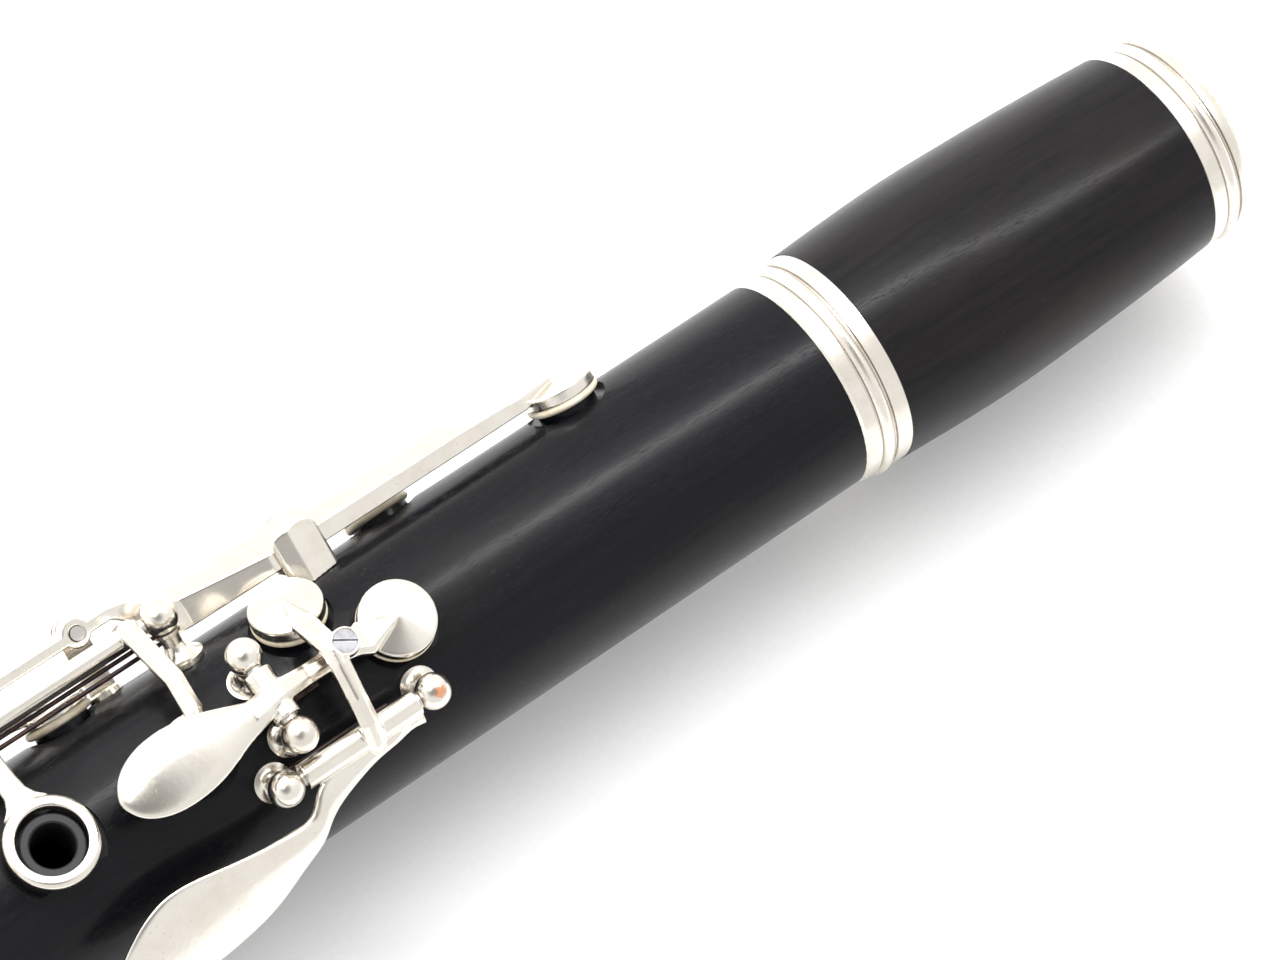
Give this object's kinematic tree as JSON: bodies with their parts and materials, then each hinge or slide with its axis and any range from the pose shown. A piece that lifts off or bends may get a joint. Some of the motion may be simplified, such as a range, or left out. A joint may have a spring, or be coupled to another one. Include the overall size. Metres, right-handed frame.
{
  "type": "clarinet upper joint with barrel",
  "caption": "Dark wooden woodwind joint with a ringed barrel, sprung pad keys, finger rings and side levers that open and close its tone holes.",
  "frame": {"origin": "centre of the barrel's mouth on the bore axis", "axes": "+X out of the barrel's mouth along the bore, +Z towards the front where the finger holes are, +Y towards the side keys"},
  "size_m": [0.278, 0.0481, 0.0458],
  "materials": {
    "grenadilla": "satin oiled",
    "barrel_wood": "satin oiled",
    "ring_metal": "silver plate, lightly tarnished",
    "key_metal": "polished silver plate with fine scuffs",
    "post_metal": "silver plate, tarnished in the corners",
    "steel": "ground steel",
    "blued_steel": "blued",
    "pad_skin": "bladder skin over felt",
    "cork": "waxed cork",
    "bush": "satin black"
  },
  "bodies": {
    "upper_joint": {"upper_joint_body": "grenadilla", "top_tenon_cork": "cork", "lower_tenon_cork": "cork", "index_hole_bush": "bush", "thumb_hole_bush": "bush", "register_vent_tube": "post_metal", "a_key_posts": "post_metal", "a_key_axle": "steel", "g_sharp_key_posts": "post_metal", "g_sharp_key_rod": "steel", "ring_key_posts": "post_metal", "ring_key_rod": "steel", "side_lever_guide": "post_metal", "long_side_key_post": "post_metal", "long_side_key_axle": "steel", "lower_side_key_posts": "post_metal", "lower_side_key_axles": "steel", "register_key_posts": "post_metal", "register_key_axle": "steel", "thumb_ring_key_posts": "post_metal", "thumb_ring_key_rod": "steel", "c_sharp_key_posts": "post_metal", "c_sharp_key_rod": "steel", "sliver_key_posts": "post_metal", "sliver_key_rod": "steel", "needle_springs": "blued_steel"},
    "barrel": {"barrel_body": "barrel_wood", "barrel_top_ring": "ring_metal", "barrel_lower_ring": "ring_metal"},
    "a_key": {"a_key": "key_metal", "a_key_pad": "pad_skin", "a_key_spring": "blued_steel"},
    "g_sharp_key": {"g_sharp_key": "key_metal", "g_sharp_key_pad": "pad_skin", "g_sharp_adjusting_screw": "steel"},
    "index_ring_key": {"index_ring_key": "key_metal", "vent_pad": "pad_skin"},
    "middle_ring_key": {"middle_ring_key": "key_metal", "middle_ring_pad": "pad_skin"},
    "side_key_one": {"side_key_one": "key_metal", "side_pad_one": "pad_skin"},
    "side_key_two": {"side_key_two": "key_metal", "side_pad_two": "pad_skin"},
    "side_key_three": {"side_key_three": "key_metal", "side_pad_three": "pad_skin"},
    "side_key_four": {"side_key_four": "key_metal", "side_pad_four": "pad_skin"},
    "register_key": {"register_key": "key_metal", "register_key_pad": "pad_skin", "register_key_spring": "blued_steel"},
    "thumb_ring_key": {"thumb_ring_key": "key_metal"},
    "c_sharp_key": {"c_sharp_key": "key_metal", "c_sharp_key_pad": "pad_skin"},
    "sliver_key": {"sliver_key": "key_metal", "sliver_key_pad": "pad_skin"}
  },
  "joints": [
    {"name": "barrel_pull", "type": "slide", "parent": "upper_joint", "child": "barrel", "axis": [1, 0, 0], "range_m": [0, 0.003]},
    {"name": "a_key_hinge", "type": "hinge", "parent": "upper_joint", "child": "a_key", "pos_m": [-0.1491, -0.00092, 0.02018], "axis": [0, -0.999, -0.0454], "range_deg": [0, 5], "stiffness_Nm_per_rad": 0.02, "springref_deg": -18},
    {"name": "g_sharp_key_hinge", "type": "hinge", "parent": "upper_joint", "child": "g_sharp_key", "pos_m": [-0.1426, -0.01035, 0.01593], "axis": [1, 0, 0], "range_deg": [0, 5.2], "stiffness_Nm_per_rad": 0.02, "springref_deg": -18},
    {"name": "index_ring_hinge", "type": "hinge", "parent": "upper_joint", "child": "index_ring_key", "pos_m": [-0.172, 0.01678, 0.01246], "axis": [1, 0, 0], "range_deg": [0, 3.8], "stiffness_Nm_per_rad": 0.02, "springref_deg": -16},
    {"name": "middle_ring_hinge", "type": "hinge", "parent": "upper_joint", "child": "middle_ring_key", "pos_m": [-0.202, 0.01678, 0.01246], "axis": [1, 0, 0], "range_deg": [0, 3.8], "stiffness_Nm_per_rad": 0.02, "springref_deg": -16},
    {"name": "side_key_one_hinge", "type": "hinge", "parent": "upper_joint", "child": "side_key_one", "pos_m": [-0.1615, 0.02161, 0.00954], "axis": [0, -0.4384, 0.8988], "range_deg": [0, 2.2], "stiffness_Nm_per_rad": 0.06, "springref_deg": -12},
    {"name": "side_key_two_hinge", "type": "hinge", "parent": "upper_joint", "child": "side_key_two", "pos_m": [-0.1615, 0.02371, 0.00522], "axis": [0, -0.4384, 0.8988], "range_deg": [0, 2.6], "stiffness_Nm_per_rad": 0.06, "springref_deg": -12},
    {"name": "side_key_three_hinge", "type": "hinge", "parent": "upper_joint", "child": "side_key_three", "pos_m": [-0.196, 0.0172, 0.00739], "axis": [0, -0.4384, 0.8988], "range_deg": [0, 2.6], "stiffness_Nm_per_rad": 0.04, "springref_deg": -14},
    {"name": "side_key_four_hinge", "type": "hinge", "parent": "upper_joint", "child": "side_key_four", "pos_m": [-0.206, 0.01869, 0.00065], "axis": [0, -0.0349, 0.9994], "range_deg": [0, 2.6], "stiffness_Nm_per_rad": 0.04, "springref_deg": -14},
    {"name": "register_key_hinge", "type": "hinge", "parent": "upper_joint", "child": "register_key", "pos_m": [-0.125, 0, -0.02], "axis": [0, 1, 0], "range_deg": [0, 3.6], "stiffness_Nm_per_rad": 0.03, "springref_deg": -16},
    {"name": "thumb_ring_hinge", "type": "hinge", "parent": "upper_joint", "child": "thumb_ring_key", "pos_m": [-0.169, 0.01494, -0.01253], "axis": [-1, 0, 0], "range_deg": [0, 3.9], "stiffness_Nm_per_rad": 0.015, "springref_deg": -16},
    {"name": "c_sharp_key_hinge", "type": "hinge", "parent": "upper_joint", "child": "c_sharp_key", "pos_m": [-0.245, -0.01494, 0.01253], "axis": [1, 0, 0], "range_deg": [0, 6], "stiffness_Nm_per_rad": 0.02, "springref_deg": -18},
    {"name": "sliver_key_hinge", "type": "hinge", "parent": "upper_joint", "child": "sliver_key", "pos_m": [-0.22, -0.01157, 0.01481], "axis": [-1, 0, 0], "range_deg": [0, 5.2], "stiffness_Nm_per_rad": 0.012, "springref_deg": -18}
  ]
}
